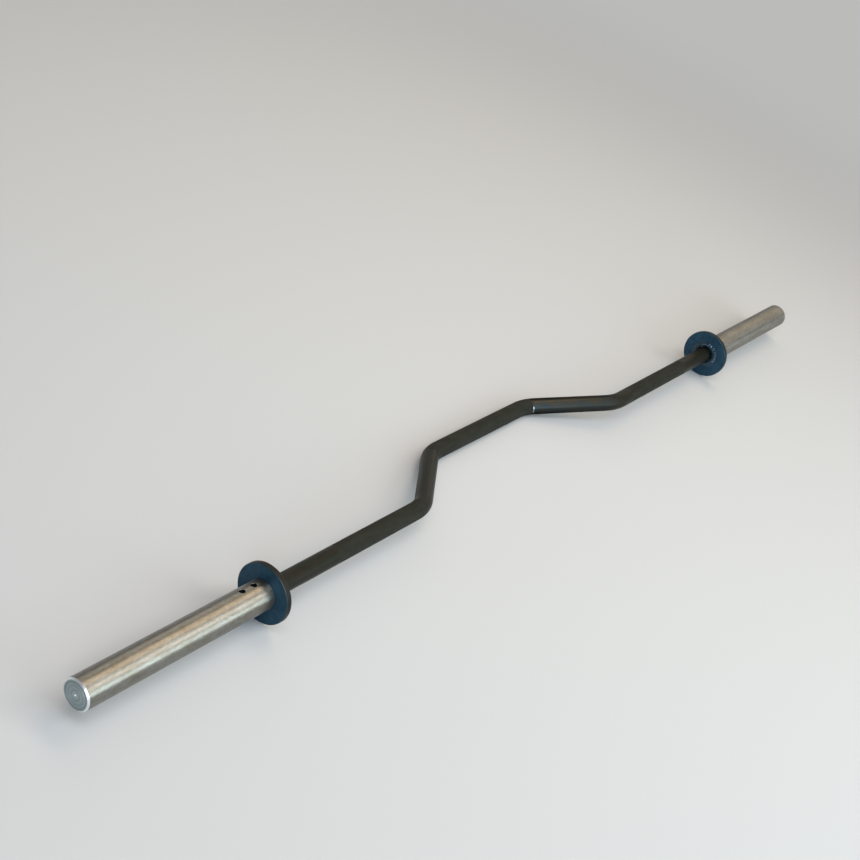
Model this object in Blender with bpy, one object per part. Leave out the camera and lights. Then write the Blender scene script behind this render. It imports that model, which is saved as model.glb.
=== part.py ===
"""Cambered bench press bar, lying at rest on its two flanges and its cambered middle.

The bar lies along X and +Z is up. The one-piece shaft is bent four times, so that its middle
runs beside the line of the sleeves. A steel sleeve turns on the turned-down journal at each end.
Every length is in metres, and the floor that the bar lies on is z = 0.
"""
import math

import bmesh
import bpy
from mathutils import Matrix, Vector

# Overall sizes
OVERALL_LENGTH = 2.184
SLEEVE_LOADABLE_LENGTH = 0.364

# Shaft and its camber
SHAFT_DIAMETER = 0.0318
CAMBER_DEPTH = 0.109
CAMBER_OUTER_WIDTH = 0.650
CAMBER_INNER_WIDTH = 0.310
BEND_RADIUS = 0.080

# Journal that is turned down on each end of the shaft
SHOULDER_DEPTH = 0.006
SHOULDER_CHAMFER = 0.0010
JOURNAL_DIAMETER = 0.028
JOURNAL_TO_PLUG_GAP = 0.0455
JOURNAL_END_CHAMFER = 0.0015
GROOVE_DEPTH = 0.0030

# Sleeve, a thick tube that reaches through the flange
SLEEVE_DIAMETER = 0.050
SLEEVE_BORE = 0.036
SLEEVE_STAND_OUT = 0.0030
SLEEVE_END_CHAMFER = 0.0025
SLEEVE_MOUTH_CHAMFER = 0.0015
SLEEVE_INNER_END_CHAMFER = 0.0008

# Flange that stops the plates
FLANGE_DIAMETER = 0.100
FLANGE_THICKNESS = 0.0095
FLANGE_CHAMFER = 0.0009

# Fillet weld between the flange's inner face and the sleeve
WELD_FACE_LEG = 0.0042
WELD_SLEEVE_LEG = 0.0024
WELD_RIPPLE_HEIGHT = 0.00035
WELD_RIPPLES = 24

# Bronze bushings and the washer against the shoulder
INNER_BUSHING_LENGTH = 0.016
OUTER_BUSHING_LENGTH = 0.040
OUTER_BUSHING_SETBACK = 0.004
BUSHING_CHAMFER = 0.0006
WASHER_THICKNESS = 0.0020

# Set screws whose dog points run in the journal's grooves
SCREW_DIAMETER = 0.0095
SCREW_SINK = 0.0032
SCREW_PITCH = 0.0250
FIRST_SCREW_FROM_FLANGE = 0.0215
DOG_DIAMETER = 0.0062
DOG_LENGTH = 0.0032
SOCKET_ACROSS_FLATS = 0.0048
SOCKET_DEPTH = 0.0040
SCREW_CHAMFER = 0.0006

# Plug that closes the sleeve's outer end
PLUG_THICKNESS = 0.012
PLUG_CHAMFER = 0.0010
CENTRE_HOLE_DIAMETER = 0.0040
CENTRE_HOLE_DEPTH = 0.0016

# Angle of each sleeve's row of screws, in degrees from +Y towards +Z
SCREW_ANGLE = {"left": 72.0, "right": -52.0}

# Clearance between neighbouring pieces
FIT = 0.0003

# Flats around each kind of round piece
SHAFT_FLATS = 32
SLEEVE_FLATS = 48
FLANGE_FLATS = 64
INNER_FLATS = 32
SCREW_FLATS = 16
BEND_STEPS = 7

# Sizes that follow from the ones above
SHAFT_RADIUS = SHAFT_DIAMETER / 2
SLEEVE_RADIUS = SLEEVE_DIAMETER / 2
BORE_RADIUS = SLEEVE_BORE / 2
FLANGE_RADIUS = FLANGE_DIAMETER / 2
JOURNAL_RADIUS = JOURNAL_DIAMETER / 2
GROOVE_RADIUS = JOURNAL_RADIUS - GROOVE_DEPTH
GROOVE_WIDTH = DOG_DIAMETER + 2 * FIT
SLEEVE_END = FLANGE_THICKNESS + SLEEVE_LOADABLE_LENGTH
FLANGE_INNER_X = OVERALL_LENGTH / 2 - SLEEVE_END
JOURNAL_END = SLEEVE_END - PLUG_THICKNESS - JOURNAL_TO_PLUG_GAP
WASHER_START = SHOULDER_DEPTH + FIT
INNER_BUSHING_START = WASHER_START + WASHER_THICKNESS + FIT
OUTER_BUSHING_START = JOURNAL_END - OUTER_BUSHING_SETBACK - OUTER_BUSHING_LENGTH
SCREW_POSITIONS = [
    FLANGE_THICKNESS + FIRST_SCREW_FROM_FLANGE + index * SCREW_PITCH
    for index in range(2)
]

# The bar rolls until the camber touches the floor, which tips the plane of the bends
AXIS_HEIGHT = FLANGE_RADIUS
CAMBER_TILT = math.asin((FLANGE_RADIUS - SHAFT_RADIUS) / CAMBER_DEPTH)
CAMBER_REACH = CAMBER_DEPTH * math.cos(CAMBER_TILT)
AXIS_Y = (FLANGE_RADIUS - SHAFT_RADIUS - CAMBER_REACH) / 2


def clear_scene():
    """Remove every object that the scene holds."""
    for old in list(bpy.data.objects):
        bpy.data.objects.remove(old, do_unlink=True)


def make_material(name, colour, roughness, metallic):
    """Return a Principled material of one colour."""
    material = bpy.data.materials.new(name)
    material.use_nodes = True
    shader = material.node_tree.nodes["Principled BSDF"]
    shader.inputs["Base Color"].default_value = (*colour, 1.0)
    shader.inputs["Roughness"].default_value = roughness
    shader.inputs["Metallic"].default_value = metallic
    material.diffuse_color = (*colour, 1.0)
    return material


def add_object(name, bm, material, parent=None):
    """Close the bmesh into a smooth-shaded object, faces outwards, under its parent."""
    bmesh.ops.remove_doubles(bm, verts=bm.verts, dist=1e-6)
    bmesh.ops.recalc_face_normals(bm, faces=bm.faces)
    mesh = bpy.data.meshes.new(name)
    bm.to_mesh(mesh)
    bm.free()
    mesh.shade_smooth()
    mesh.set_sharp_from_angle(angle=math.radians(30))
    mesh.materials.append(material)
    piece = bpy.data.objects.new(name, mesh)
    bpy.context.collection.objects.link(piece)
    piece.parent = parent
    return piece


def turn(profile, flats, axis=(1, 0, 0)):
    """Spin a closed outline of (along the axis, radius) points once around the axis."""
    along = Vector(axis)
    outward = Vector((0, 0, 1)) if along.x else Vector((1, 0, 0))
    bm = bmesh.new()
    corners = [bm.verts.new(along * position + outward * radius) for position, radius in profile]
    edges = [bm.edges.new((first, second)) for first, second in zip(corners, corners[1:])]
    if profile[0][1] > 0 or profile[-1][1] > 0:
        edges.append(bm.edges.new((corners[-1], corners[0])))
    bmesh.ops.spin(
        bm, geom=corners + edges, cent=(0, 0, 0), axis=along, angle=math.tau, steps=flats)
    bmesh.ops.remove_doubles(bm, verts=bm.verts, dist=1e-6)
    return bm


def ring_profile(start, end, inner, outer, chamfer=0.0):
    """Return the outline of a plain ring, with its two outer edges broken where asked."""
    profile = [(start, inner), (start, outer - chamfer), (end, outer - chamfer), (end, inner)]
    if chamfer > 0:
        profile[2:2] = [(start + chamfer, outer), (end - chamfer, outer)]
    return profile


def sided(profile, side):
    """Lay a profile of (depth into the sleeve, radius) out along the bar's left or right half."""
    return [(side * depth, radius) for depth, radius in profile]


def camber_path():
    """Return (point, direction) pairs along the centre line of the bends.

    Each corner of the line is rounded by an arc of BEND_RADIUS that touches both of its sides.
    """
    depth_axis = Vector((0, math.cos(CAMBER_TILT), -math.sin(CAMBER_TILT)))
    half_outer = CAMBER_OUTER_WIDTH / 2
    half_inner = CAMBER_INNER_WIDTH / 2
    corners = [
        Vector((-FLANGE_INNER_X, 0, 0)),
        Vector((-half_outer, 0, 0)),
        Vector((-half_inner, 0, 0)) + depth_axis * CAMBER_DEPTH,
        Vector((half_inner, 0, 0)) + depth_axis * CAMBER_DEPTH,
        Vector((half_outer, 0, 0)),
        Vector((FLANGE_INNER_X, 0, 0)),
    ]
    path = []
    for before, corner, after in zip(corners, corners[1:], corners[2:]):
        arriving = (corner - before).normalized()
        leaving = (after - corner).normalized()
        turn_angle = arriving.angle(leaving)
        start = corner - arriving * BEND_RADIUS * math.tan(turn_angle / 2)
        toward_centre = (leaving - arriving * leaving.dot(arriving)).normalized()
        centre = start + toward_centre * BEND_RADIUS
        for step in range(BEND_STEPS + 1):
            angle = turn_angle * step / BEND_STEPS
            point = centre + BEND_RADIUS * (
                arriving * math.sin(angle) - toward_centre * math.cos(angle))
            direction = arriving * math.cos(angle) + toward_centre * math.sin(angle)
            path.append((point, direction))
    return path


def journal_profile():
    """Return (depth into the sleeve, radius) down one end of the shaft."""
    profile = [
        (SHOULDER_DEPTH - SHOULDER_CHAMFER, SHAFT_RADIUS),
        (SHOULDER_DEPTH, SHAFT_RADIUS - SHOULDER_CHAMFER),
        (SHOULDER_DEPTH, JOURNAL_RADIUS),
    ]
    for position in SCREW_POSITIONS:
        start = position - GROOVE_WIDTH / 2
        end = position + GROOVE_WIDTH / 2
        profile += [
            (start, JOURNAL_RADIUS),
            (start, GROOVE_RADIUS),
            (end, GROOVE_RADIUS),
            (end, JOURNAL_RADIUS),
        ]
    profile += [
        (JOURNAL_END - JOURNAL_END_CHAMFER, JOURNAL_RADIUS),
        (JOURNAL_END, JOURNAL_RADIUS - JOURNAL_END_CHAMFER),
    ]
    return profile


def add_shaft(material):
    """Loft the bent shaft through rings that stand square to its centre line.

    The rings share one direction, the normal of the plane of the bends, so the loft doesn't
    twist, and they start at the angle that puts a corner at the bottom of the level middle.
    """
    along = Vector((1, 0, 0))
    stations = [(point, direction, SHAFT_RADIUS) for point, direction in camber_path()]
    for depth, radius in journal_profile():
        offset = FLANGE_INNER_X + depth
        stations.insert(0, (along * -offset, along, radius))
        stations.append((along * offset, along, radius))
    plane_normal = Vector((0, math.sin(CAMBER_TILT), math.cos(CAMBER_TILT)))
    lowest = math.atan2(-math.sin(CAMBER_TILT), -math.cos(CAMBER_TILT))
    bm = bmesh.new()
    rings = []
    for point, direction, radius in stations:
        across = direction.cross(plane_normal)
        ring = []
        for flat in range(SHAFT_FLATS):
            angle = lowest + math.tau * flat / SHAFT_FLATS
            spoke = plane_normal * math.cos(angle) + across * math.sin(angle)
            ring.append(bm.verts.new(point + spoke * radius))
        rings.append(ring)
    for ring, following in zip(rings, rings[1:]):
        for flat in range(SHAFT_FLATS):
            other = (flat + 1) % SHAFT_FLATS
            bm.faces.new((ring[flat], ring[other], following[other], following[flat]))
    bm.faces.new(rings[0])
    bm.faces.new(rings[-1])
    shaft = add_object("cambered_shaft", bm, material)
    shaft.location = (0, AXIS_Y, AXIS_HEIGHT)
    return shaft


def sleeve_profile():
    """Return the tube's outline, with a wide chamfer outside and a bevelled mouth inside."""
    inner_end = -SLEEVE_STAND_OUT
    return [
        (inner_end + SLEEVE_MOUTH_CHAMFER, BORE_RADIUS),
        (inner_end, BORE_RADIUS + SLEEVE_MOUTH_CHAMFER),
        (inner_end, SLEEVE_RADIUS - SLEEVE_INNER_END_CHAMFER),
        (inner_end + SLEEVE_INNER_END_CHAMFER, SLEEVE_RADIUS),
        (SLEEVE_END - SLEEVE_END_CHAMFER, SLEEVE_RADIUS),
        (SLEEVE_END, SLEEVE_RADIUS - SLEEVE_END_CHAMFER),
        (SLEEVE_END, BORE_RADIUS),
    ]


def add_cutter(name, bm, parent):
    """Keep a bmesh as a wire object that only cuts other pieces."""
    mesh = bpy.data.meshes.new(name)
    bmesh.ops.recalc_face_normals(bm, faces=bm.faces)
    bm.to_mesh(mesh)
    bm.free()
    cutter = bpy.data.objects.new(name, mesh)
    bpy.context.collection.objects.link(cutter)
    cutter.parent = parent
    cutter.hide_render = True
    cutter.display_type = "WIRE"
    return cutter


def cut(piece, cutter):
    """Take the cutter's shape out of the piece."""
    modifier = piece.modifiers.new("cut_" + cutter.name, "BOOLEAN")
    modifier.operation = "DIFFERENCE"
    modifier.object = cutter


def radial_placement(side, depth, side_name):
    """Return the matrix that points a piece's Z outwards at a screw's place on the sleeve."""
    angle = math.radians(SCREW_ANGLE[side_name] - 90)
    return Matrix.Translation((side * depth, 0, 0)) @ Matrix.Rotation(angle, 4, "X")


def screw_profile():
    """Return the set screw's outline from its dog point out to its socket end."""
    top = SLEEVE_RADIUS - SCREW_SINK
    tip = GROOVE_RADIUS + FIT
    radius = SCREW_DIAMETER / 2
    dog_radius = DOG_DIAMETER / 2
    return [
        (tip, 0.0),
        (tip, dog_radius),
        (tip + DOG_LENGTH, dog_radius),
        (tip + DOG_LENGTH + radius - dog_radius, radius),
        (top - SCREW_CHAMFER, radius),
        (top, radius - SCREW_CHAMFER),
        (top, 0.0),
    ]


def add_screws(side_name, side, sleeve, parent, material):
    """Add the two set screws and drill their holes through the sleeve's wall."""
    for place, depth in zip(("inner", "outer"), SCREW_POSITIONS):
        stem = f"{side_name}_{place}_set_screw"
        placement = radial_placement(side, depth, side_name)
        hole = turn(
            [
                (GROOVE_RADIUS, 0.0),
                (GROOVE_RADIUS, SCREW_DIAMETER / 2 + FIT),
                (SLEEVE_RADIUS + SCREW_SINK, SCREW_DIAMETER / 2 + FIT),
                (SLEEVE_RADIUS + SCREW_SINK, 0.0),
            ],
            SCREW_FLATS, axis=(0, 0, 1))
        drill = add_cutter(stem + "_hole", hole, parent)
        drill.matrix_local = placement
        cut(sleeve, drill)
        screw = add_object(stem, turn(screw_profile(), SCREW_FLATS, axis=(0, 0, 1)), material, parent)
        screw.matrix_local = placement
        socket = bmesh.new()
        bmesh.ops.create_cone(
            socket, cap_ends=True, segments=6, depth=2 * SOCKET_DEPTH,
            radius1=SOCKET_ACROSS_FLATS / math.sqrt(3), radius2=SOCKET_ACROSS_FLATS / math.sqrt(3),
            matrix=Matrix.Translation((0, 0, SLEEVE_RADIUS - SCREW_SINK)))
        key = add_cutter(stem + "_socket", socket, parent)
        key.matrix_local = placement
        cut(screw, key)


def weld_bead(side):
    """Return the rippled fillet weld, a rounded bead laid in short overlapping steps.

    Its section at each angle is a corner against the sleeve and the flange, closed by a bulged
    face. The face swells and falls once for every ripple.
    """
    root_radius = SLEEVE_RADIUS + FIT
    columns = WELD_RIPPLES * 3
    bulge_steps = 4
    bm = bmesh.new()
    sections = []
    for column in range(columns):
        angle = math.tau * column / columns
        swell = WELD_RIPPLE_HEIGHT * math.cos(math.tau * column / 3)
        face_leg = WELD_FACE_LEG + swell
        sleeve_leg = WELD_SLEEVE_LEG + swell
        section = [(-FIT, root_radius)]
        for step in range(bulge_steps + 1):
            bend = math.pi / 2 * step / bulge_steps
            height = sleeve_leg * math.sin(bend) ** 1.3
            reach = face_leg * math.cos(bend) ** 1.3
            section.append((-FIT - height, root_radius + reach))
        sections.append([
            bm.verts.new((side * depth, radius * math.sin(angle), radius * math.cos(angle)))
            for depth, radius in section])
    for section, following in zip(sections, sections[1:] + sections[:1]):
        for corner in range(len(section)):
            other = (corner + 1) % len(section)
            bm.faces.new((section[corner], section[other], following[other], following[corner]))
    return bm


def plug_profile():
    """Return the end plug's outline, with the lathe's centre hole in its outer face."""
    inner_face = SLEEVE_END - PLUG_THICKNESS
    radius = BORE_RADIUS - FIT
    return [
        (inner_face, 0.0),
        (inner_face, radius - PLUG_CHAMFER),
        (inner_face + PLUG_CHAMFER, radius),
        (SLEEVE_END, radius),
        (SLEEVE_END, CENTRE_HOLE_DIAMETER / 2),
        (SLEEVE_END - CENTRE_HOLE_DEPTH, 0.0),
    ]


def add_side(side_name, side, materials):
    """Add one end of the bar: the sleeve, what is fixed to it, and its bearings."""
    pivot = bpy.data.objects.new(side_name + "_sleeve_axis", None)
    bpy.context.collection.objects.link(pivot)
    pivot.location = (side * FLANGE_INNER_X, AXIS_Y, AXIS_HEIGHT)

    def add_turned(suffix, profile, flats, material_name):
        bm = turn(sided(profile, side), flats)
        return add_object(f"{side_name}_{suffix}", bm, materials[material_name], pivot)

    sleeve = add_turned("sleeve", sleeve_profile(), SLEEVE_FLATS, "sleeve")
    add_screws(side_name, side, sleeve, pivot, materials["screw"])
    flange = ring_profile(
        0, FLANGE_THICKNESS, SLEEVE_RADIUS + FIT, FLANGE_RADIUS, chamfer=FLANGE_CHAMFER)
    add_turned("flange", flange, FLANGE_FLATS, "flange")
    add_object(f"{side_name}_flange_weld", weld_bead(side), materials["weld"], pivot)
    bushings = (
        ("inner_bushing", INNER_BUSHING_START, INNER_BUSHING_LENGTH),
        ("outer_bushing", OUTER_BUSHING_START, OUTER_BUSHING_LENGTH),
    )
    for suffix, start, length in bushings:
        profile = ring_profile(
            start, start + length, JOURNAL_RADIUS + FIT, BORE_RADIUS - FIT,
            chamfer=BUSHING_CHAMFER)
        add_turned(suffix, profile, INNER_FLATS, "bushing")
    washer = ring_profile(
        WASHER_START, WASHER_START + WASHER_THICKNESS, JOURNAL_RADIUS + FIT, BORE_RADIUS - FIT)
    add_turned("thrust_washer", washer, INNER_FLATS, "washer")
    add_turned("end_plug", plug_profile(), SLEEVE_FLATS, "plug")


def build():
    """Build the whole bar."""
    clear_scene()
    materials = {
        "shaft": make_material("black_oxide_steel", (0.032, 0.033, 0.027), 0.48, 0.75),
        "sleeve": make_material("turned_steel", (0.52, 0.50, 0.44), 0.30, 1.0),
        "flange": make_material("blue_enamel", (0.018, 0.048, 0.095), 0.42, 0.0),
        "weld": make_material("enamelled_weld", (0.020, 0.045, 0.085), 0.25, 0.0),
        "bushing": make_material("bronze", (0.55, 0.33, 0.13), 0.35, 1.0),
        "washer": make_material("hardened_washer", (0.40, 0.40, 0.41), 0.30, 1.0),
        "screw": make_material("black_alloy_screw", (0.030, 0.030, 0.032), 0.45, 0.8),
        "plug": make_material("faced_steel", (0.19, 0.25, 0.28), 0.33, 1.0),
    }
    add_shaft(materials["shaft"])
    add_side("left", -1, materials)
    add_side("right", 1, materials)


build()
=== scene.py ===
# %% [markdown]
# # A cambered bench press bar
# The bar is one black steel shaft with four bends. A bare steel sleeve turns on each end of it,
# and a blue enamelled flange marks where the sleeve begins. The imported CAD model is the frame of
# this lesson. It says where each piece sits, and the cells below give each piece its fine surface
# and its finish.

# %% Load the frame
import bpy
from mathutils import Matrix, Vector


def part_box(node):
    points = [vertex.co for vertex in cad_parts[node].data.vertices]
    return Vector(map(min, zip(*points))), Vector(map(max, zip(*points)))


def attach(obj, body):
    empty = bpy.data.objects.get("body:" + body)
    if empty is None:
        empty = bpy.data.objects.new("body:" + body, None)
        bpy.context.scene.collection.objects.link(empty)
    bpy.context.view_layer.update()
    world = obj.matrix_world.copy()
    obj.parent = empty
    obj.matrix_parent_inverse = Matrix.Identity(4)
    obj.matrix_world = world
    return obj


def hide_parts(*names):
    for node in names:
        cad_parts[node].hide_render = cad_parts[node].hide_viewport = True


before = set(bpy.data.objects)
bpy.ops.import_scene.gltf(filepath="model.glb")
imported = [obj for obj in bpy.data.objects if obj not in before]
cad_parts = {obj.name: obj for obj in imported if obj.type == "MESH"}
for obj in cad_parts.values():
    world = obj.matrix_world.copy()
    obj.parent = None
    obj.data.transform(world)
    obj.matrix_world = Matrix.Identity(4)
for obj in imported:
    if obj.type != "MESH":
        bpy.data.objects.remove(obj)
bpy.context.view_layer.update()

# %% [markdown]
# ## The tools
# bpy is Blender itself. numpy works out whole surfaces as arrays in one go, and mathutils aims
# the lamps and the camera.

# %% Bring in the tools
import math

import bpy
import numpy as np
from mathutils import Matrix, Vector

# %% [markdown]
# ## Sizes
# Nearly every size is measured from the frame, so that the surfaces below stay on the CAD pieces.
# The right-hand end is measured, and the left-hand end is its mirror image.

# %% Measure the frame
flange_low, flange_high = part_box("right_flange")
sleeve_low, sleeve_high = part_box("right_sleeve")
shaft_low, shaft_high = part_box("cambered_shaft")
plug_low, plug_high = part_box("right_end_plug")
weld_low, weld_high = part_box("right_flange_weld")

AXIS_Y = (flange_low.y + flange_high.y) / 2
AXIS_Z = (flange_low.z + flange_high.z) / 2
FLANGE_INNER_X = flange_low.x
FLANGE_THICKNESS = flange_high.x - flange_low.x
FLANGE_RADIUS = (flange_high.z - flange_low.z) / 2
SLEEVE_RADIUS = (sleeve_high.z - sleeve_low.z) / 2
SLEEVE_START = sleeve_low.x - FLANGE_INNER_X
SLEEVE_END = sleeve_high.x - FLANGE_INNER_X
PLUG_RADIUS = (plug_high.z - plug_low.z) / 2
PLUG_START = plug_low.x - FLANGE_INNER_X
SHAFT_RADIUS = shaft_high.z - AXIS_Z
JOURNAL_END = shaft_high.x - FLANGE_INNER_X
FIT = 0.0003
BORE_RADIUS = PLUG_RADIUS + FIT
print(f"axis at y {AXIS_Y:.4f}, z {AXIS_Z:.4f}; shaft radius {SHAFT_RADIUS:.4f}")

# %% [markdown]
# ## From arrays to a mesh
# Almost everything here is round, so it is a grid: rows run along the piece and columns run round
# it. numpy works out all the places at once, and `foreach_set` hands them to Blender in one call,
# which is far faster than adding vertices one by one.

# %% Grid of rings
def ring_grid(depth, radius, columns, start=0.0):
    """Places of a round grid, one ring for each row.

    Point (i, j) is (depth, radius cos a, radius sin a), where a = start + 2 pi j / columns.
    depth and radius hold one number for each row, or one for each row and column.
    """
    rows = len(depth)
    depth = np.broadcast_to(np.reshape(depth, (rows, -1)), (rows, columns))
    radius = np.broadcast_to(np.reshape(radius, (rows, -1)), (rows, columns))
    angle = start + math.tau * np.arange(columns) / columns
    return np.stack((depth, radius * np.cos(angle), radius * np.sin(angle)), axis=-1)


def ring_quads(rows, columns, closed):
    """Quads between each row and the next. closed also joins the last row to the first."""
    row = np.arange(rows if closed else rows - 1)[:, None]
    column = np.arange(columns)[None, :]
    near = row * columns
    far = (row + 1) % rows * columns
    following = (column + 1) % columns
    return np.stack((near + column, near + following, far + following, far + column), axis=-1)


print("a grid of 3 rings and 8 columns has", ring_quads(3, 8, closed=False)[..., 0].size, "quads")

# %% [markdown]
# ### Both ends from one shape
# The two ends of the bar are mirror images. Each end piece could be made twice, but then the two
# would drift apart with every change. So a piece is made once, measured outwards from the inner
# face of its flange, and is carried to either end with that end's own three directions.

# %% Where a piece's own directions point
def carried(local, origin, directions):
    """Place = origin + local coordinates times the three directions they are measured along."""
    return np.asarray(origin) + local @ np.asarray(directions, float)


def end_of_bar(side):
    """Origin and directions for pieces measured outwards from a flange's inner face."""
    return (side * FLANGE_INNER_X, AXIS_Y, AXIS_Z), ((side, 0, 0), (0, 1, 0), (0, 0, 1))


SIDES = {"left": -1, "right": 1}
print("flange faces at", [round(end_of_bar(side)[0][0], 4) for side in SIDES.values()])

# %% [markdown]
# ### Into Blender
# A mesh is a list of points and a list of faces. A mirrored shape comes out inside out, and light
# then falls on the wrong side of it. The volume that the faces enclose is below zero when they
# point inwards, so it is measured, and the faces are turned round where they need it.

# %% Put the arrays into Blender
SHARP_ANGLE = math.radians(30)


def enclosed_volume(places, face_sets):
    """Sum of the tetrahedra between each face and the origin, below 0 if the faces point in."""
    total = 0.0
    for faces in face_sets:
        corner = places[faces]
        for step in range(1, faces.shape[1] - 1):
            spans = np.cross(corner[:, step], corner[:, step + 1])
            total += np.einsum("ij,ij->", corner[:, 0], spans) / 6
    return total


def add_piece(name, body, places, face_sets, finishes, *, stands_for, slots=0, smooth=True):
    """Make one mesh from arrays, faces outwards, riding on its CAD body for its CAD nodes."""
    places = places.reshape(-1, 3)
    face_sets = [faces.reshape(-1, faces.shape[-1]) for faces in face_sets]
    if enclosed_volume(places, face_sets) < 0:
        face_sets = [faces[:, ::-1] for faces in face_sets]
    corners = np.concatenate([faces.ravel() for faces in face_sets])
    counts = np.concatenate([np.full(len(faces), faces.shape[1]) for faces in face_sets])
    mesh = bpy.data.meshes.new(name)
    mesh.vertices.add(len(places))
    mesh.vertices.foreach_set("co", places.astype(np.float32).ravel())
    mesh.loops.add(len(corners))
    mesh.loops.foreach_set("vertex_index", corners.astype(np.int32))
    mesh.polygons.add(len(counts))
    mesh.polygons.foreach_set("loop_start", (np.cumsum(counts) - counts).astype(np.int32))
    for setting, value in (("use_smooth", smooth), ("material_index", slots)):
        mesh.polygons.foreach_set(setting, np.broadcast_to(value, len(counts)).astype(np.int32))
    mesh.update(calc_edges=True)
    mesh.set_sharp_from_angle(angle=SHARP_ANGLE)
    for finish in finishes:
        mesh.materials.append(finish)
    piece = bpy.data.objects.new(name, mesh)
    bpy.context.scene.collection.objects.link(piece)
    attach(piece, body)
    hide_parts(*stands_for)
    print(name, len(places), "points,", int((counts - 2).sum()), "triangles")
    return piece

# %% [markdown]
# ## Outlines for the lathe
# A turned piece is an outline carried once round the axis. Real edges are never perfectly sharp,
# so each corner of the outline becomes a short curve. A plain corner would also lose the thin
# bright line that a broken edge gives in the light.

# %% Round the corners of an outline
def eased(corners, size, steps=4, hold=1.4):
    """Round each corner of a closed outline.

    Each corner is left at a distance of size on both sides, and the curve between is
    (1-t)^2 start + 2t(1-t) corner + t^2 end. One more point on each side, hold times as far
    out, keeps the flats flat.
    """
    corners = np.asarray(corners, float)
    before = np.roll(corners, 1, axis=0) - corners
    after = np.roll(corners, -1, axis=0) - corners
    before /= np.linalg.norm(before, axis=1, keepdims=True)
    after /= np.linalg.norm(after, axis=1, keepdims=True)
    size = np.broadcast_to(size, len(corners))[:, None, None]
    t = np.linspace(0, 1, steps + 1)[None, :, None]
    middle = corners[:, None]
    start = middle + before[:, None] * size
    end = middle + after[:, None] * size
    curve = (1 - t) ** 2 * start + 2 * t * (1 - t) * middle + t ** 2 * end
    hold_start = middle + before[:, None] * size * hold
    hold_end = middle + after[:, None] * size * hold
    return np.concatenate((hold_start, curve, hold_end), axis=1)


def solid_of_revolution(outline, columns):
    """Turn an outline that begins and ends on the axis, where each tip is one point."""
    places = ring_grid(outline[1:-1, 0], outline[1:-1, 1], columns)
    rows = len(places)
    quads = ring_quads(rows, columns, closed=False)
    first_tip = rows * columns
    column = np.arange(columns)
    following = (column + 1) % columns
    last_ring = first_tip - columns
    near_fan = np.stack((following, column, np.full(columns, first_tip)), axis=-1)
    far_fan = np.stack(
        (last_ring + column, last_ring + following, np.full(columns, first_tip + 1)), axis=-1)
    tips = np.array([(outline[0, 0], 0, 0), (outline[-1, 0], 0, 0)])
    return np.concatenate((places.reshape(-1, 3), tips)), [quads, near_fan, far_fan]


print("one eased corner is", eased([(0, 0), (1, 0), (0, 1)], 0.1).shape[1], "points")

# %% [markdown]
# ## Nodes for the finishes
# Each finish is a Principled shader whose colour and roughness come from noise. A steel surface
# looks real through small changes: streaks from handling, a mottled oxide, turning marks. Values
# that are the same everywhere are set on the shader itself.

# %% Helpers for node trees
def start_finish(name):
    """A new material and its Principled shader."""
    finish = bpy.data.materials.new(name)
    finish.use_nodes = True
    return finish, finish.node_tree.nodes["Principled BSDF"]


def plug_in(finish, node, sockets):
    """Fill each named socket with a number, a colour or the output that leads to it."""
    for socket, value in sockets.items():
        if isinstance(value, bpy.types.NodeSocket):
            finish.node_tree.links.new(value, node.inputs[socket])
        else:
            node.inputs[socket].default_value = value


def add_node(finish, kind, sockets, **settings):
    """Add one node with its settings, and fill its sockets."""
    node = finish.node_tree.nodes.new(kind)
    for setting, value in settings.items():
        setattr(node, setting, value)
    plug_in(finish, node, sockets)
    return node


def stretched_noise(finish, place, per_metre, detail=3.0):
    """Noise with its own scale along each axis. A low number makes a long streak."""
    mapping = add_node(finish, "ShaderNodeMapping", {"Vector": place, "Scale": per_metre})
    noise = add_node(finish, "ShaderNodeTexNoise", {
        "Vector": mapping.outputs["Vector"], "Scale": 1.0, "Detail": detail})
    return noise.outputs["Fac"]


def graded(finish, amount, low_colour, high_colour, low=0.35, high=0.65):
    """Colour that goes from one to the other as amount goes from low to high."""
    ramp = add_node(finish, "ShaderNodeValToRGB", {"Fac": amount})
    ramp.color_ramp.elements[0].position = low
    ramp.color_ramp.elements[0].color = (*low_colour, 1)
    ramp.color_ramp.elements[1].position = high
    ramp.color_ramp.elements[1].color = (*high_colour, 1)
    return ramp.outputs["Color"]


def ranged(finish, amount, low, high, from_low=0.3, from_high=0.7, change="LINEAR"):
    """Number that goes from low to high as amount goes from from_low to from_high."""
    node = add_node(finish, "ShaderNodeMapRange", {
        "Value": amount, "From Min": from_low, "From Max": from_high,
        "To Min": low, "To Max": high}, interpolation_type=change)
    return node.outputs["Result"]


def object_place(finish):
    """The place on the piece, in metres."""
    return add_node(finish, "ShaderNodeTexCoord", {}).outputs["Object"]


def distance_from_axis(finish, place):
    """How far a place is from the line of the sleeves, as a vector that noise can read."""
    centred = add_node(
        finish, "ShaderNodeVectorMath", {0: place, 1: (0, -AXIS_Y, -AXIS_Z)}, operation="ADD")
    flat = add_node(
        finish, "ShaderNodeVectorMath", {0: centred.outputs["Vector"], 1: (0, 1, 1)},
        operation="MULTIPLY")
    length = add_node(
        finish, "ShaderNodeVectorMath", {0: flat.outputs["Vector"]}, operation="LENGTH")
    joined = add_node(finish, "ShaderNodeCombineXYZ", {"X": length.outputs["Value"]})
    return joined.outputs["Vector"]


print("helpers ready")

# %% [markdown]
# ### Black oxide on the shaft
# The shaft is blackened steel. One slope of the camber has kept a soft shine, brownish above and
# bluish below. The other plain stretches are duller, and the knurled grips are matt with an olive
# tone. The shaft's mesh will carry two attributes for these finishes: "straightened" says where
# each point was before bending, so that noise follows the steel through the bends, and "polish"
# says how much shine is left.

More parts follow.
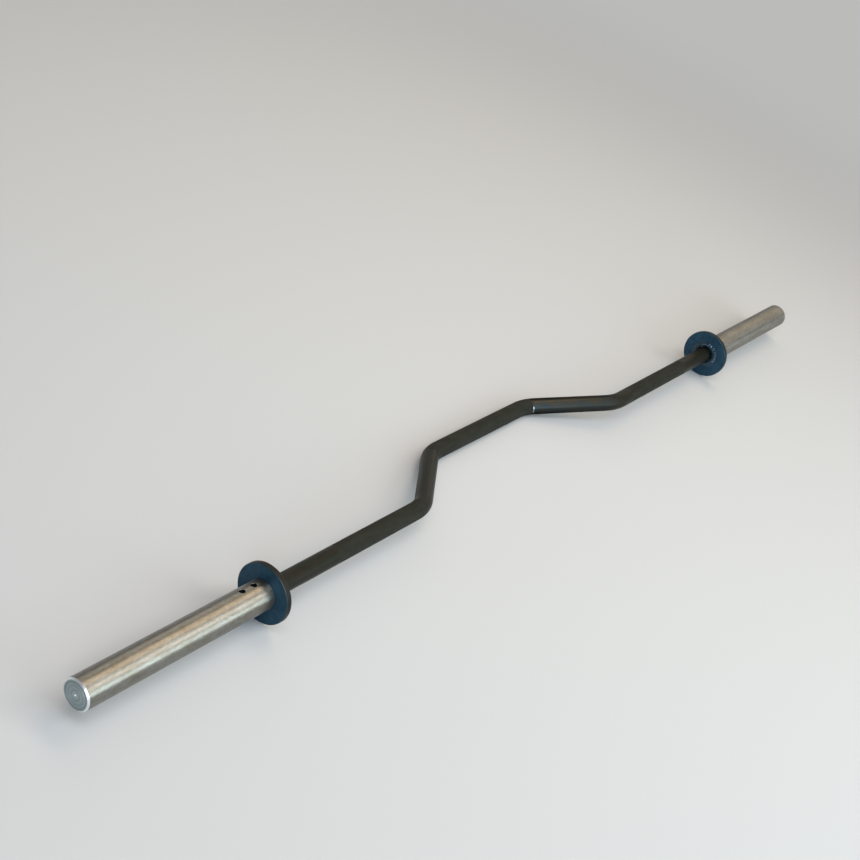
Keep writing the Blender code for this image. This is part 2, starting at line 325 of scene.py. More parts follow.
# %% Make the shaft finishes
def mixed(finish, amount, first, second, kind="RGBA"):
    """Mix of two colours, or of two numbers if kind is FLOAT."""
    node = add_node(finish, "ShaderNodeMix", {}, data_type=kind)
    sockets = {socket.identifier: socket for socket in node.inputs}
    ends = {"RGBA": ("A_Color", "B_Color"), "FLOAT": ("A_Float", "B_Float")}[kind]
    finish.node_tree.links.new(amount, sockets["Factor_Float"])
    finish.node_tree.links.new(first, sockets[ends[0]])
    finish.node_tree.links.new(second, sockets[ends[1]])
    outputs = {socket.identifier: socket for socket in node.outputs}
    return outputs["Result_Color" if kind == "RGBA" else "Result_Float"]


def black_oxide(name, dull, glossy=None):
    """Blackened steel, mottled over centimetres, with fine streaks along the bar.

    dull and glossy each hold a deep colour, a lifted colour and a range of roughness. dull also
    holds a shine.
    """
    finish, shader = start_finish(name)
    straight = add_node(finish, "ShaderNodeAttribute", {}, attribute_name="straightened")
    place = straight.outputs["Vector"]
    mottle = stretched_noise(finish, place, (35, 90, 90))
    streak = stretched_noise(finish, place, (12, 800, 800), detail=2.0)
    deep, lifted, rough, shine = dull
    colour = graded(finish, mottle, deep, lifted)
    roughness = ranged(finish, streak, *rough)
    if glossy:
        mask = add_node(finish, "ShaderNodeAttribute", {}, attribute_name="polish")
        polish = mask.outputs["Fac"]
        deep, lifted, rough = glossy
        colour = mixed(finish, polish, colour, graded(finish, mottle, deep, lifted))
        roughness = mixed(
            finish, polish, roughness, ranged(finish, streak, *rough), kind="FLOAT")
        plug_in(finish, shader, {"Metallic": polish, "Specular Tint": (0.3, 0.3, 0.3, 1)})
    plug_in(finish, shader, {
        "Base Color": colour, "Roughness": roughness, "Specular IOR Level": shine})
    return finish


plain_oxide = black_oxide(
    "plain_black_oxide",
    ((0.0062, 0.0070, 0.0042), (0.0100, 0.0098, 0.0056), (0.40, 0.52), 0.30),
    ((0.027, 0.033, 0.037), (0.039, 0.036, 0.030), (0.32, 0.42)))
knurled_oxide = black_oxide(
    "knurled_black_oxide",
    ((0.0112, 0.0120, 0.0088), (0.0166, 0.0172, 0.0126), (0.50, 0.62), 0.13))
print("shaft finishes:", plain_oxide.name, knurled_oxide.name)

# %% [markdown]
# ### Bare turned steel on the sleeves
# A lathe leaves grooves that run round the sleeve, finer than the eye can see. They spread a
# reflection along the sleeve and keep it narrow across, which is why the light lies in long
# bands. The Anisotropic value does the same. Plates sliding on and off add long faint streaks.
# The end was faced with a tool that moved inwards, so it has rings that differ a little in tone.
# The wide chamfer was cut last and is the brightest. A bit of the shaft has its oxide worn half
# bare, and that patch, kept to one side of the bar, is also a painted glint. These two are small,
# so one plain function with a fine mottling serves both.

# %% Make the steel finishes
def darkened(finish, colour, stain):
    """One colour multiplied by another."""
    node = add_node(finish, "ShaderNodeVectorMath", {0: colour, 1: stain}, operation="MULTIPLY")
    return node.outputs["Vector"]


def turning_marks(finish, strength):
    """Sockets that spread a reflection across the grooves that a lathe cuts round the X axis."""
    around = add_node(finish, "ShaderNodeTangent", {}, direction_type="RADIAL", axis="X")
    return {
        "Anisotropic": strength, "Anisotropic Rotation": 0.25,
        "Tangent": around.outputs["Tangent"]}


def turned_steel():
    """Bare steel with long streaks, mottled warm and cool, and narrow bands of light."""
    finish, shader = start_finish("turned_steel")
    place = object_place(finish)
    streak = stretched_noise(finish, place, (5, 420, 420), detail=4.0)
    blotch = stretched_noise(finish, place, (28, 60, 60), detail=4.0)
    streak_colour = graded(
        finish, streak, (0.252, 0.246, 0.231), (0.297, 0.291, 0.272), 0.25, 0.75)
    blotch_colour = graded(finish, blotch, (0.84, 0.81, 0.75), (1.0, 1.0, 1.0), 0.3, 0.6)
    speck = stretched_noise(finish, place, (130, 280, 280), detail=4.0)
    speck_colour = graded(finish, speck, (0.86, 0.84, 0.80), (1.0, 1.0, 1.0), 0.4, 0.6)
    plug_in(finish, shader, {
        "Base Color": darkened(
            finish, darkened(finish, streak_colour, blotch_colour), speck_colour),
        "Metallic": 1.0,
        "Roughness": ranged(finish, streak, 0.35, 0.41),
        **turning_marks(finish, 0.75)})
    return finish


def faced_steel():
    """Lathe-faced steel: rings round the centre that differ a little in tone and in shine."""
    finish, shader = start_finish("faced_steel")
    rings = distance_from_axis(finish, object_place(finish))
    tone = stretched_noise(finish, rings, (330, 330, 330), detail=4.0)
    plug_in(finish, shader, {
        "Base Color": graded(finish, tone, (0.215, 0.265, 0.28), (0.43, 0.50, 0.52), 0.38, 0.62),
        "Metallic": 1.0,
        "Roughness": ranged(finish, tone, 0.34, 0.44),
        **turning_marks(finish, 0.7)})
    return finish


def machined(name, low_colour, high_colour, roughness, metallic=1.0, shine=0.5, per_metre=700):
    """A small machined piece: fine mottling in colour and in shine."""
    finish, shader = start_finish(name)
    grain = stretched_noise(finish, object_place(finish), (per_metre, per_metre, per_metre))
    plug_in(finish, shader, {
        "Base Color": graded(finish, grain, low_colour, high_colour),
        "Metallic": metallic,
        "Specular IOR Level": shine,
        "Roughness": ranged(finish, grain, *roughness)})
    return finish


sleeve_steel = turned_steel()
end_steel = faced_steel()
chamfer_steel = machined(
    "fresh_cut_steel", (0.80, 0.84, 0.86), (0.92, 0.94, 0.95), (0.32, 0.42), per_metre=300)
# Painted glint, partly worn oxide: a lighter steel for one side of the groove in the shaft.
rubbed_glint_steel = machined(
    "rubbed_oxide_glint", (0.22, 0.26, 0.28), (0.34, 0.39, 0.42), (0.22, 0.32), per_metre=200)
print("steel finishes:", sleeve_steel.name, end_steel.name, chamfer_steel.name, rubbed_glint_steel.name)

# %% [markdown]
# ### Blue enamel on the flanges
# The flange is a turned disc under dark blue enamel. The turning marks still show through the
# paint and draw its shine out along the radius. The weld wears the same enamel, which lies
# thicker and glossier on its ripples. At the sleeve's mouth the paint has chipped down to steel.
# Real enamel chips at random, so noise with a hard edge decides where the steel shows.

# %% Make the enamel finishes
def blue_enamel(name, low_colour, high_colour, roughness, metallic, shine=0.5, tint=(1, 1, 1)):
    """Dark blue paint over turning marks, slightly uneven in tone."""
    finish, shader = start_finish(name)
    place = object_place(finish)
    cloud = stretched_noise(finish, place, (90, 90, 90), detail=4.0)
    rings = stretched_noise(finish, distance_from_axis(finish, place), (500, 500, 500))
    plug_in(finish, shader, {
        "Base Color": graded(finish, cloud, low_colour, high_colour),
        "Metallic": metallic,
        "Roughness": ranged(finish, rings, *roughness),
        "Specular IOR Level": shine,
        "Specular Tint": (*tint, 1),
        **turning_marks(finish, 0.75)})
    return finish


flange_enamel = blue_enamel(
    "blue_enamel", (0.0153, 0.0555, 0.0956), (0.027, 0.0826, 0.1357), (0.40, 0.50),
    metallic=0.7)
weld_enamel = blue_enamel(
    "enamelled_weld", (0.003, 0.015, 0.030), (0.006, 0.022, 0.042), (0.04, 0.10),
    metallic=0.2, shine=1.0, tint=(0.60, 0.84, 1.0))


def chipped_enamel():
    """The same paint at the mouth of the sleeve, where it has chipped down to bright steel."""
    finish, shader = start_finish("chipped_enamel")
    chips = stretched_noise(finish, object_place(finish), (190, 190, 190), detail=5.0)
    bare = ranged(finish, chips, 0.0, 1.0, 0.50, 0.56)
    plug_in(finish, shader, {
        "Base Color": graded(finish, chips, (0.004, 0.014, 0.026), (0.66, 0.76, 0.84), 0.50, 0.56),
        "Metallic": bare,
        "Roughness": ranged(finish, chips, 0.12, 0.30)})
    return finish


mouth_enamel = chipped_enamel()
print("enamel finishes:", flange_enamel.name, weld_enamel.name, mouth_enamel.name)

# %% [markdown]
# ### Hidden bearings and dark screws
# The bushings are bronze, the thrust washers are hardened steel and the set screws are blackened.
# The washers' dark tone is painted shade for the gap where the shaft enters the sleeve. They
# hardly show, but anyone who opens the model or looks into the bore will see them. They are
# machined pieces like the chamfer, so the same function makes them, and so is the worn edge of
# the flange. The bushings and washers keep their CAD solids and only change their finish.

# %% Make the small finishes
bronze = machined("bronze", (0.46, 0.27, 0.10), (0.60, 0.37, 0.16), (0.30, 0.42))
# Painted shade: the washers' dark tone stands for the shade in the gap at the sleeve's mouth.
shaded_washer_steel = machined("hardened_washer", (0.09, 0.09, 0.10), (0.14, 0.14, 0.15), (0.30, 0.40))
worn_edge = machined("worn_edge", (0.060, 0.064, 0.060), (0.105, 0.105, 0.095), (0.35, 0.45))
# This near-black finish serves the blackened screws and the flange rims, and is painted shade in
# the bore.
screw_steel = machined(
    "screw_steel", (0.010, 0.011, 0.010), (0.019, 0.020, 0.019), (0.40, 0.50),
    metallic=0.6, shine=0.15)

hidden_finishes = {"inner_bushing": bronze, "outer_bushing": bronze, "thrust_washer": shaded_washer_steel}
for piece_name, finish in hidden_finishes.items():
    for side_name in SIDES:
        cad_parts[f"{side_name}_{piece_name}"].material_slots[0].material = finish
print("carried over from the frame:", len(hidden_finishes) * len(SIDES), "hidden pieces")

# %% [markdown]
# ## The line of the shaft
# The shaft's centre line is level, turns down into the camber, runs level again and comes back.
# Its heading is constant on a straight and changes evenly in a bend. So the heading is one line
# graph of the distance along the bar, and the place is the running sum of short steps taken along
# the heading. Distances are measured from the middle of the bar, and one half mirrors the other.

# %% Walk along half the bar
CAMBER_OUTER_WIDTH = 0.650
CAMBER_INNER_WIDTH = 0.310
BEND_RADIUS = 0.080
WALK_STEP = 0.0001
WALK_PAST_END = 1.1

camber_reach = shaft_high.y - SHAFT_RADIUS - AXIS_Y
camber_drop = AXIS_Z - SHAFT_RADIUS - shaft_low.z
camber_depth = math.hypot(camber_reach, camber_drop)
slope_width = (CAMBER_OUTER_WIDTH - CAMBER_INNER_WIDTH) / 2
turn_angle = math.atan2(camber_depth, slope_width)
corner_cut = BEND_RADIUS * math.tan(turn_angle / 2)
bend_length = BEND_RADIUS * turn_angle
level_middle = CAMBER_INNER_WIDTH / 2 - corner_cut
slope_length = math.hypot(slope_width, camber_depth) - 2 * corner_cut
half_shaft = FLANGE_INNER_X + JOURNAL_END
turning_points = np.cumsum([level_middle, bend_length, slope_length, bend_length])
heading_there = [0, turn_angle, turn_angle, 0]

walked = np.arange(0, half_shaft * WALK_PAST_END, WALK_STEP)
heading = np.interp(walked, turning_points, heading_there)
along_steps = np.cos(heading)
depth_steps = np.sin(heading)
x_walked = np.cumsum((along_steps[1:] + along_steps[:-1]) / 2) * WALK_STEP
depth_walked = np.cumsum((depth_steps[1:] + depth_steps[:-1]) / 2) * WALK_STEP
x_walked = np.insert(x_walked, 0, 0.0)
depth_walked = camber_depth - np.insert(depth_walked, 0, 0.0)
print(f"camber {camber_depth * 1000:.1f} mm deep, left {depth_walked[-1] * 1e6:.1f} microns short")

# %% [markdown]
# The walk is a table of steps, and a place between two steps is read off on a straight line. Each
# place also gets a direction across the bar in the plane of the bends. The surface will hang on
# that direction, and it turns with the bar, so the tube keeps its width in the bends.

# %% Read the line at any distance
def distance_at(x):
    """Distance along the shaft from its middle, for places x along the bar."""
    return np.sign(x) * np.interp(np.abs(x), x_walked, walked)


def shaft_line(distance):
    """Centre, and the direction across the bar in the plane of the bends, at each distance.

    The direction across is the heading turned by a right angle in that plane.
    """
    half = np.sign(distance)
    x = half * np.interp(np.abs(distance), walked, x_walked)
    depth = np.interp(np.abs(distance), walked, depth_walked)
    turned = half * np.interp(np.abs(distance), turning_points, heading_there)
    toward_camber = np.array([0, camber_reach, -camber_drop]) / camber_depth
    along = np.array([1.0, 0, 0])
    centre = x[:, None] * along + depth[:, None] * toward_camber + [0, AXIS_Y, AXIS_Z]
    across = np.sin(turned)[:, None] * along + np.cos(turned)[:, None] * toward_camber
    return centre, across


bend_normal = np.array([0, camber_drop, camber_reach]) / camber_depth
print(f"shaft length {2 * distance_at(np.array([half_shaft]))[0]:.4f} m along its centre line")

# %% [markdown]
# ## The knurled grips
# Knurling presses two sets of crossing grooves into the steel and leaves rows of small diamonds.
# It could be faked with a bump texture, but the edge of the bar would stay smooth and the
# pattern would be lost in the exported mesh. Here each diamond is real: on a grid with half a
# diamond between its lines, every other point stays high and the rest sink. The photograph shows
# two outer grips, and a middle one that ends just past both inner bends in a shallow groove. On
# one side of the right-hand groove a short stretch has its oxide worn off. Its lighter steel is
# kept to the side where the light catches it, so it is also a painted glint.

# %% Lay out the rows along the shaft
DIAMONDS_AROUND = 60
DIAMOND_STRETCH = 1.7
KNURL_DEPTH = 0.00032
LEFT_GRIP = (-0.561, -0.334)
RIGHT_GRIP = (0.371, 0.597)
GRIP_PAST_BEND = 0.010
BEND_ROWS = 13
GROOVE_ROWS = np.array([0.0, 0.0004, 0.0018, 0.0028])
GROOVE_SUNK = np.array([0.0, 0.00035, 0.00035, 0.0])
# Painted glint: the side and the reach of the lighter patch in the right-hand groove.
GLINT_SIDE = math.radians(268)
GLINT_REACH = math.radians(24)

columns = 2 * DIAMONDS_AROUND
half_diamond = math.pi * SHAFT_RADIUS / DIAMONDS_AROUND * DIAMOND_STRETCH
past_corner = CAMBER_INNER_WIDTH / 2 + GRIP_PAST_BEND * math.cos(turn_angle)
grips = [
    distance_at(np.array(grip))
    for grip in (LEFT_GRIP, (-past_corner, past_corner), RIGHT_GRIP)]
groove_distance = grips[1][1] + GROOVE_ROWS


def grip_rows(start, end):
    """Rows half a diamond apart that fill one grip exactly."""
    return np.linspace(start, end, round((end - start) / half_diamond) + 1)


def plain_rows(start, end):
    """Rows for a smooth stretch, close together in the bends and few on the straights."""
    bends = np.concatenate((-turning_points[::-1], turning_points))
    steps = np.concatenate([
        np.linspace(first, last, BEND_ROWS) for first, last in bends.reshape(-1, 2)])
    near_ends = [start + FIT, end - FIT]
    rows = np.concatenate((steps, near_ends, groove_distance, -groove_distance))
    return np.unique(np.round(rows[(rows > start + FIT / 2) & (rows < end - FIT / 2)], 6))


print("half a diamond is", round(half_diamond * 1000, 3), "mm long")

# %% [markdown]
# Each end of the shaft is turned down to a thinner journal that carries the sleeve. Two grooves
# round the journal hold the tips of the set screws. The journal is hidden, but it makes this
# the same solid bar as in the CAD model.

# %% Turn the journals
JOURNAL_RADIUS = 0.014
SHOULDER_DEPTH = 0.006
SHOULDER_CHAMFER = 0.001
GROOVE_DEPTH = 0.003
GROOVE_WIDTH = 0.0068
JOURNAL_END_CHAMFER = 0.0015
screw_depths = [
    np.mean([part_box(f"right_{place}_set_screw")[corner].x for corner in (0, 1)]) - FLANGE_INNER_X
    for place in ("inner", "outer")]

grooves = [
    (depth + offset * GROOVE_WIDTH / 2, JOURNAL_RADIUS - sunk * GROOVE_DEPTH)
    for depth in screw_depths
    for offset, sunk in ((-1, 0), (-1, 1), (1, 1), (1, 0))]
journal = np.array([
    (SHOULDER_DEPTH - SHOULDER_CHAMFER, SHAFT_RADIUS),
    (SHOULDER_DEPTH, SHAFT_RADIUS - SHOULDER_CHAMFER),
    (SHOULDER_DEPTH, JOURNAL_RADIUS),
    *grooves,
    (JOURNAL_END - JOURNAL_END_CHAMFER, JOURNAL_RADIUS),
    (JOURNAL_END, JOURNAL_RADIUS - JOURNAL_END_CHAMFER)])
journal_distance = distance_at(FLANGE_INNER_X + journal[:, 0])
print("journal outline has", len(journal), "points")

# %% [markdown]
# The whole shaft is one grid, so its rows are listed from end to end: journal, plain stretch,
# grip, plain stretch and so on. One long array is simpler than seven pieces with seams between
# them. The rows at the edge of a grip stay high, so that it meets the plain steel cleanly.

# %% Gather the rows and sink every other point
plain_bounds = np.array([-journal_distance[0], *np.ravel(grips), journal_distance[0]])
plain_spans = plain_bounds.reshape(-1, 2)
stretches = [-journal_distance[::-1]]
knurled = [np.zeros(len(journal), bool)]
for index, (start, end) in enumerate(plain_spans):
    rows = plain_rows(start, end)
    stretches.append(rows)
    knurled.append(np.zeros(len(rows), bool))
    if index < len(grips):
        rows = grip_rows(*grips[index])
        stretches.append(rows)
        knurled.append(np.ones(len(rows), bool))
stretches.append(journal_distance)
knurled.append(np.zeros(len(journal), bool))
distance = np.concatenate(stretches)
knurled = np.concatenate(knurled)

row_radius = np.full(len(distance), SHAFT_RADIUS)
row_radius[:len(journal)] = journal[::-1, 1]
row_radius[-len(journal):] = journal[:, 1]
row_radius -= np.interp(np.abs(distance), groove_distance, GROOVE_SUNK, left=0, right=0)
row_index = np.arange(len(distance))[:, None]
column_index = np.arange(columns)[None, :]
edge_row = knurled & ~(np.roll(knurled, 1) & np.roll(knurled, -1))
sunk = (knurled & ~edge_row)[:, None] & ((row_index + column_index) % 2 == 0)
radius = row_radius[:, None] - KNURL_DEPTH * sunk
print("shaft has", len(distance), "rows, of which", int(knurled.sum()), "are knurled")

# %% [markdown]
# Now the grid goes round the centre line. A point is the centre plus its radius times a spoke,
# and the spoke turns between the normal of the bends and the direction across the bar, so the
# surface doesn't twist in a bend. In the grips each square is split along its groove, from sunk
# point to sunk point, which makes every diamond a true four-sided point.

# %% Build the shaft
PLAIN, KNURLED, RUBBED_GLINT = range(3)

centre, across = shaft_line(distance)
angle = math.tau * np.arange(columns) / columns
spokes = (
    np.cos(angle)[None, :, None] * bend_normal
    + np.sin(angle)[None, :, None] * across[:, None])
shaft_places = centre[:, None] + radius[..., None] * spokes
straight_places = np.stack(np.broadcast_arrays(
    distance[:, None], radius * np.cos(angle), radius * np.sin(angle)), axis=-1)

squares = ring_quads(len(distance), columns, closed=False)
in_grip = knurled[:-1] & knurled[1:]
even = (row_index[:-1] + column_index) % 2 == 0
near_left, near_right, far_right, far_left = np.moveaxis(squares, -1, 0)
groove_split = np.where(
    even[..., None],
    np.stack((near_left, near_right, far_right, near_left, far_right, far_left), axis=-1),
    np.stack((near_left, near_right, far_left, near_right, far_right, far_left), axis=-1))
diamonds = groove_split[in_grip].reshape(-1, 3)
plain = squares[~in_grip].reshape(-1, 4)
ends = np.array([np.arange(columns)[::-1], (len(distance) - 1) * columns + np.arange(columns)])
middle_of_row = (distance[:-1] + distance[1:]) / 2
grooved = (middle_of_row > groove_distance[0]) & (middle_of_row < groove_distance[-1])
# Painted glint, partly worn oxide: lighter steel on one side of the right-hand groove only.
rubbed_glint_side = np.cos(angle - GLINT_SIDE) > math.cos(GLINT_REACH)
plain_slots = np.where(grooved[~in_grip][:, None] & rubbed_glint_side, RUBBED_GLINT, PLAIN).ravel()
shaft_slots = np.concatenate((
    plain_slots, np.full(len(diamonds), KNURLED), np.full(len(ends), PLAIN)))
shaft = add_piece(
    "bent_shaft", "shaft", shaft_places, [plain, diamonds, ends],
    [plain_oxide, knurled_oxide, rubbed_glint_steel], slots=shaft_slots,
    smooth=shaft_slots != KNURLED, stands_for=["cambered_shaft"])

# %% [markdown]
# The mesh now remembers two things for its finishes. Each point keeps the place it had on the
# straight bar, and a number says how much of the shine is left there. A mask painted by hand
# would do too, but a number worked out from the distance follows every later change.

# %% Give the shaft its two attributes
POLISH_START = 0.001
POLISH_FADE = (-0.012, 0.022)

straightened = shaft.data.attributes.new("straightened", "FLOAT_VECTOR", "POINT")
straightened.data.foreach_set("vector", straight_places.astype(np.float32).ravel())
fade_start, fade_end = turning_points[2] + np.array(POLISH_FADE)
row_polish = np.interp(distance, [0, POLISH_START, fade_start, fade_end], [0, 1, 1, 0])
polish = shaft.data.attributes.new("polish", "FLOAT", "POINT")
polish.data.foreach_set("value", np.repeat(row_polish, columns).astype(np.float32))
print("polished from the middle grip to", round(fade_end, 3), "m along the shaft")

# %% [markdown]
# ## The flanges
# Each flange is a thick disc with a hole for the sleeve. Its outline is a rectangle with its
# outer corners chamfered, eased a little and carried round the axis. The rim is bare and dark,
# and plates have worn the chamfer beside them, which draws a thin line round the blue face.

# %% Build the flanges
FLANGE_CHAMFER = 0.0009
FLANGE_EASE = 0.0003
FLANGE_COLUMNS = 192
FACE, RIM, WORN = range(3)

flange_hole = SLEEVE_RADIUS + FIT / 10
flange_outline = eased([
    (0, flange_hole),
    (0, FLANGE_RADIUS - FLANGE_CHAMFER),
    (FLANGE_CHAMFER, FLANGE_RADIUS),
    (FLANGE_THICKNESS - FLANGE_CHAMFER, FLANGE_RADIUS),
    (FLANGE_THICKNESS, FLANGE_RADIUS - FLANGE_CHAMFER),
    (FLANGE_THICKNESS, flange_hole)], FLANGE_EASE).reshape(-1, 2)
flange_middles = (flange_outline + np.roll(flange_outline, -1, axis=0)) / 2
beyond_face = flange_middles[:, 1] > FLANGE_RADIUS - FLANGE_CHAMFER
on_rim = flange_middles[:, 1] > FLANGE_RADIUS - FLANGE_CHAMFER / 4
on_plate_side = flange_middles[:, 0] > FLANGE_THICKNESS / 2
rim_slots = np.select([on_rim, beyond_face & on_plate_side], [RIM, WORN], FACE)
for side_name, side in SIDES.items():
    grid = ring_grid(flange_outline[:, 0], flange_outline[:, 1], FLANGE_COLUMNS)
    quads = ring_quads(len(flange_outline), FLANGE_COLUMNS, closed=True)
    disc = add_piece(
        f"{side_name}_flange_disc", f"{side_name}_sleeve", carried(grid, *end_of_bar(side)),
        [quads], [flange_enamel, screw_steel, worn_edge],
        slots=np.repeat(rim_slots, FLANGE_COLUMNS), stands_for=[f"{side_name}_flange"])

# %% [markdown]
# ## The weld beads
# A hand-laid weld joins the sleeve's inner end to the flange. Its face is a row of overlapping
# ripples like leaned coins: each ripple is highest in the middle of the bead and lags behind
# there. The welder's pace also varies, so slow waves make the bead swell and thin. Sculpting
# would give one such bead, and a formula gives any number that all fit their joint. The bead's
# outer edge is set in a little, so that its waves stay inside the CAD bead's radius.

# %% Build the weld beads
WELD_COLUMNS = 720
WELD_RIPPLES = 29
WELD_HEIGHT = 0.00120
RIPPLE_HEIGHT = 0.00036
BEAD_POINTS = 16
CREST_SHIFT = 1.4
CREST_LAG = 2.2
FULLNESS = 0.6
PACE_WAVES = ((4, 1.0, 0.05), (9, 2.0, 0.03))
SLOW_WAVES = ((3, 1.0, 1.0), (7, 2.1, 1.0), (13, 0.7, 1.0))
SWELL = 0.14
EDGE_SWELL = 1.6
EDGE_ROOM = 3 * RIPPLE_HEIGHT
LIP_RADIUS = 0.0189
LIP_HEIGHT = 0.0009
LIP_MARGIN = 0.0006

weld_outer = (weld_high.z - weld_low.z) / 2 - EDGE_ROOM
weld_inner = LIP_RADIUS + LIP_MARGIN
weld_step = -SLEEVE_START - LIP_HEIGHT - FIT / 5


def waves(parts, angle, phase):
    """Sum of height sin(count angle + share phase) over the parts (count, share, height)."""
    return sum(height * np.sin(count * angle + share * phase) for count, share, height in parts)


def weld_bead(phase):
    """Closed section for each angle: a bulged face from the flange to the sleeve's end.

    With t from 0 at the flange to 1 at the sleeve and u = t^CREST_SHIFT, which moves the crest
    inwards, hump = 4u(1-u) and height = step t + bulge hump^FULLNESS. The bulge rises and falls
    with the ripples. Slow waves vary the pace, swell and thin the bead and move its edges.
    """
    angle = math.tau * np.arange(WELD_COLUMNS) / WELD_COLUMNS
    t = np.linspace(0, 1, BEAD_POINTS)[:, None]
    hump = 4 * t ** CREST_SHIFT * (1 - t ** CREST_SHIFT)
    pace = angle + waves(PACE_WAVES, angle, phase)
    ripple = np.cos(WELD_RIPPLES * pace - CREST_LAG * hump)
    slow = waves(SLOW_WAVES, angle, phase) / len(SLOW_WAVES)
    bulge = WELD_HEIGHT * (1 + SWELL * slow) + RIPPLE_HEIGHT * ripple
    height = weld_step * t + bulge * hump ** FULLNESS
    edge = EDGE_SWELL * RIPPLE_HEIGHT * slow + RIPPLE_HEIGHT * np.cos(WELD_RIPPLES * pace)
    reach = (weld_outer + edge) * (1 - t) + (weld_inner - edge) * t
    depth = np.concatenate((np.full((1, WELD_COLUMNS), FIT / 3), FIT / 3 - height))
    radius = np.concatenate((np.full((1, WELD_COLUMNS), SLEEVE_RADIUS - FIT), reach))
    return ring_grid(depth, radius, WELD_COLUMNS)


for side_name, side in SIDES.items():
    grid = weld_bead(phase=1.0 + side)
    quads = ring_quads(len(grid), WELD_COLUMNS, closed=True)
    bead = add_piece(
        f"{side_name}_weld_bead", f"{side_name}_sleeve", carried(grid, *end_of_bar(side)),
        [quads], [weld_enamel], stands_for=[f"{side_name}_flange_weld"])

# %% [markdown]
# ## The sleeves
# A sleeve is a thick tube with a wide chamfer at its outer end and two drilled holes for set
# screws. A Boolean could drill them, but it leaves long thin triangles that spoil the shine. So
# a square of the grid is left out round each hole, on the outside and in the bore. It is filled
# with rings that begin as the square's edge and end as the circle of the hole.

# %% Lay out the tube
SLEEVE_COLUMNS = 192
END_CHAMFER = 0.0025
MOUTH_CHAMFER = 0.0008
INNER_END_CHAMFER = 0.0008
EDGE_EASE = 0.00025
PATCH = 16
DRILL_RADIUS = 0.00505
COUNTERSINK = 0.0003
SCREW_ANGLE = {"left": math.radians(72), "right": math.radians(-52)}
# The dark slot is painted shade: the near-black finish in the bore and on the walls of the holes.
STEEL, FACED, ENAMEL, CHAMFER, SHADE_DARK, CHIPPED = range(6)

patch_step = math.tau * SLEEVE_RADIUS / SLEEVE_COLUMNS
patch_offsets = (np.arange(PATCH + 1) - PATCH / 2) * patch_step
patch_depths = np.concatenate([depth + patch_offsets for depth in screw_depths])
inner_face = SLEEVE_START + LIP_HEIGHT
corner_curves = eased([
    (inner_face, SLEEVE_RADIUS - INNER_END_CHAMFER),
    (inner_face + INNER_END_CHAMFER, SLEEVE_RADIUS),
    (SLEEVE_END - END_CHAMFER, SLEEVE_RADIUS),
    (SLEEVE_END, SLEEVE_RADIUS - END_CHAMFER),
    (SLEEVE_END, BORE_RADIUS),
    (SLEEVE_START + MOUTH_CHAMFER, BORE_RADIUS),
    (SLEEVE_START, BORE_RADIUS + MOUTH_CHAMFER),
    (SLEEVE_START, LIP_RADIUS),
    (inner_face, LIP_RADIUS)], EDGE_EASE)
outer_wall = np.stack((patch_depths, np.full(len(patch_depths), SLEEVE_RADIUS)), axis=-1)
bore_wall = np.stack((patch_depths[::-1], np.full(len(patch_depths), BORE_RADIUS)), axis=-1)
tube_outline = np.concatenate((
    corner_curves[:2].reshape(-1, 2), outer_wall,
    corner_curves[2:5].reshape(-1, 2), bore_wall,
    corner_curves[5:].reshape(-1, 2)))
outer_start = 2 * corner_curves.shape[1]
bore_start = outer_start + len(outer_wall) + 3 * corner_curves.shape[1]
print("tube outline has", len(tube_outline), "points, bore radius", round(BORE_RADIUS, 5))

# %% [markdown]
# The left-out square has to meet a round hole. Its edge points are taken in order, and each has
# its own bearing from the middle of the hole. A ring slides along those bearings from the edge to
# the rim, so the faces stay even and the light runs smoothly past the hole.

# %% Edge of a square of the grid
SHARES_OUTSIDE = (0.35, 0.65, 0.88, 1.0)
SHARES_IN_BORE = (1.0, 0.65, 0.35)
# The wall of each hole takes the near-black finish as painted shade.
SHADED_HOLE_WALL_STRIP = len(SHARES_OUTSIDE) + 1


def square_edge(first_row, row_step):
    """Grid indices round a square of PATCH cells, always in the same order of depth and angle."""
    n = np.arange(PATCH)
    rows = np.concatenate((n, np.full(PATCH, PATCH), PATCH - n, np.zeros(PATCH, int)))
    columns = np.concatenate((np.zeros(PATCH, int), n, np.full(PATCH, PATCH), PATCH - n))
    return (first_row + row_step * rows) * SLEEVE_COLUMNS + columns, rows, columns


def hole_rings(depth, rows, columns):
    """Rings from the square's edge to the hole outside, down through the wall and out inside.

    Depth and angle slide in a straight line from the square's edge to the hole's rim, by the
    share that each ring has. The rim is a circle seen along the hole, so its angle on a wall of
    radius R is asin(across / R). The strip after the countersink is the wall of the hole.
    """
    along = (rows - PATCH / 2) * patch_step
    turn = (columns - PATCH / 2) * math.tau / SLEEVE_COLUMNS
    bearing = np.arctan2(turn * SLEEVE_RADIUS, along)
    rings = []
    for wall, rim, shares in (
        (SLEEVE_RADIUS, DRILL_RADIUS + COUNTERSINK, SHARES_OUTSIDE),
        (SLEEVE_RADIUS - COUNTERSINK, DRILL_RADIUS, (1.0,)),
        (BORE_RADIUS, DRILL_RADIUS, SHARES_IN_BORE),
    ):
        rim_along = rim * np.cos(bearing)
        rim_turn = np.arcsin(rim * np.sin(bearing) / wall)
        for share in shares:
            ring_along = depth + along + share * (rim_along - along)
            ring_turn = turn + share * (rim_turn - turn)
            rings.append(np.stack(
                (ring_along, wall * np.cos(ring_turn), wall * np.sin(ring_turn)), axis=-1))
    return np.array(rings)


print("each square's edge has", len(square_edge(0, 1)[0]), "points")

# %% [markdown]
# The rings go down through the wall and come out in the bore, which joins the two squares into
# one closed surface. The inner end is painted as far as a narrow lip round the mouth. The bore and
# the walls of the holes take the near-black finish of the screws as painted shade. Each face
# takes its finish from where it lies on the outline, and each sleeve is turned to the angle at
# which it came to rest: the near one shows its two holes, the far one hides them.

